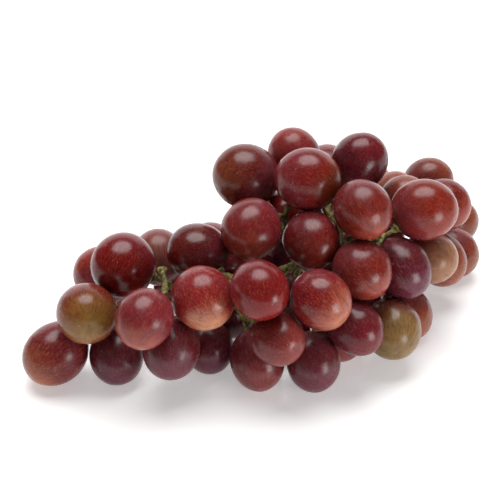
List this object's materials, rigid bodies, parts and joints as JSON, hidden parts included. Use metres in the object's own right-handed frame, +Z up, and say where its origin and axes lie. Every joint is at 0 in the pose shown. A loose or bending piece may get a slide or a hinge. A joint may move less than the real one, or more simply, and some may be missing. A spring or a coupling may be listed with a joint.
{
  "type": "bunch of grapes",
  "caption": "Bunch of red table grapes lying on its side, separate berries on one branched green stem, thin at the tip and broad at the cut end.",
  "frame": {"origin": "on the resting plane, below the middle of the bunch's bounding box", "axes": "+X along the bunch from its thin tip towards its broad cut end, +Z up from the surface it rests on, the cut stem end comes out at +Y"},
  "size_m": [0.1924, 0.1422, 0.0808],
  "materials": {
    "skin_rose_red": "waxy grape skin, rose red with fine streaks and pale dots, semi-gloss under a thin bloom",
    "skin_burgundy": "waxy grape skin, dark burgundy, semi-gloss",
    "skin_orange_red": "waxy grape skin, warm red turning pale yellow at the free end, semi-gloss",
    "skin_olive": "waxy grape skin, olive brown with red speckles, semi-gloss",
    "skin_mauve": "grape skin under a thick greyish mauve bloom, satin",
    "stem_green": "green stem with brown flecks and a woody cut end, matte"
  },
  "bodies": {
    "root": {"berry_back_left_1": "skin_rose_red", "berry_back_left_2": "skin_mauve", "berry_back_low_1": "skin_rose_red", "berry_back_low_2": "skin_olive", "berry_back_low_3": "skin_orange_red", "berry_back_low_4": "skin_burgundy", "berry_back_mid_1": "skin_mauve", "berry_back_mid_2": "skin_rose_red", "berry_back_mid_3": "skin_orange_red", "berry_back_up_1": "skin_rose_red", "berry_back_up_2": "skin_rose_red", "berry_crown_1": "skin_rose_red", "berry_crown_2": "skin_rose_red", "berry_crown_3": "skin_orange_red", "berry_crown_4": "skin_rose_red", "berry_crown_5": "skin_mauve", "berry_crown_back_1": "skin_rose_red", "berry_crown_back_2": "skin_burgundy", "berry_crown_back_3": "skin_rose_red", "berry_crown_back_4": "skin_burgundy", "berry_crown_back_5": "skin_rose_red", "berry_crown_right_1": "skin_rose_red", "berry_crown_right_2": "skin_mauve", "berry_front_left_1": "skin_mauve", "berry_front_left_2": "skin_mauve", "berry_front_left_3": "skin_mauve", "berry_front_low_1": "skin_mauve", "berry_front_low_2": "skin_rose_red", "berry_front_right_1": "skin_orange_red", "berry_front_right_2": "skin_mauve", "berry_front_right_3": "skin_burgundy", "berry_front_right_4": "skin_mauve", "berry_low_right_1": "skin_olive", "berry_low_right_2": "skin_orange_red", "berry_low_right_3": "skin_olive", "berry_low_right_4": "skin_burgundy", "berry_lower_left_1": "skin_mauve", "berry_lower_left_2": "skin_rose_red", "berry_mid_left_1": "skin_burgundy", "berry_mid_left_2": "skin_orange_red", "berry_mid_left_3": "skin_rose_red", "berry_mid_left_4": "skin_burgundy", "berry_right_1": "skin_rose_red", "berry_right_2": "skin_orange_red", "berry_right_3": "skin_orange_red", "berry_right_front_1": "skin_rose_red", "berry_right_front_2": "skin_mauve", "berry_right_front_3": "skin_orange_red", "berry_shoulder_1": "skin_orange_red", "berry_shoulder_2": "skin_rose_red", "berry_tip_1": "skin_orange_red", "berry_tip_2": "skin_olive", "berry_tip_3": "skin_mauve", "berry_tip_4": "skin_rose_red", "berry_under_1": "skin_mauve", "berry_upper_left_1": "skin_burgundy", "berry_upper_left_2": "skin_rose_red", "berry_upper_left_3": "skin_olive", "stem": "stem_green"}
  },
  "joints": []
}
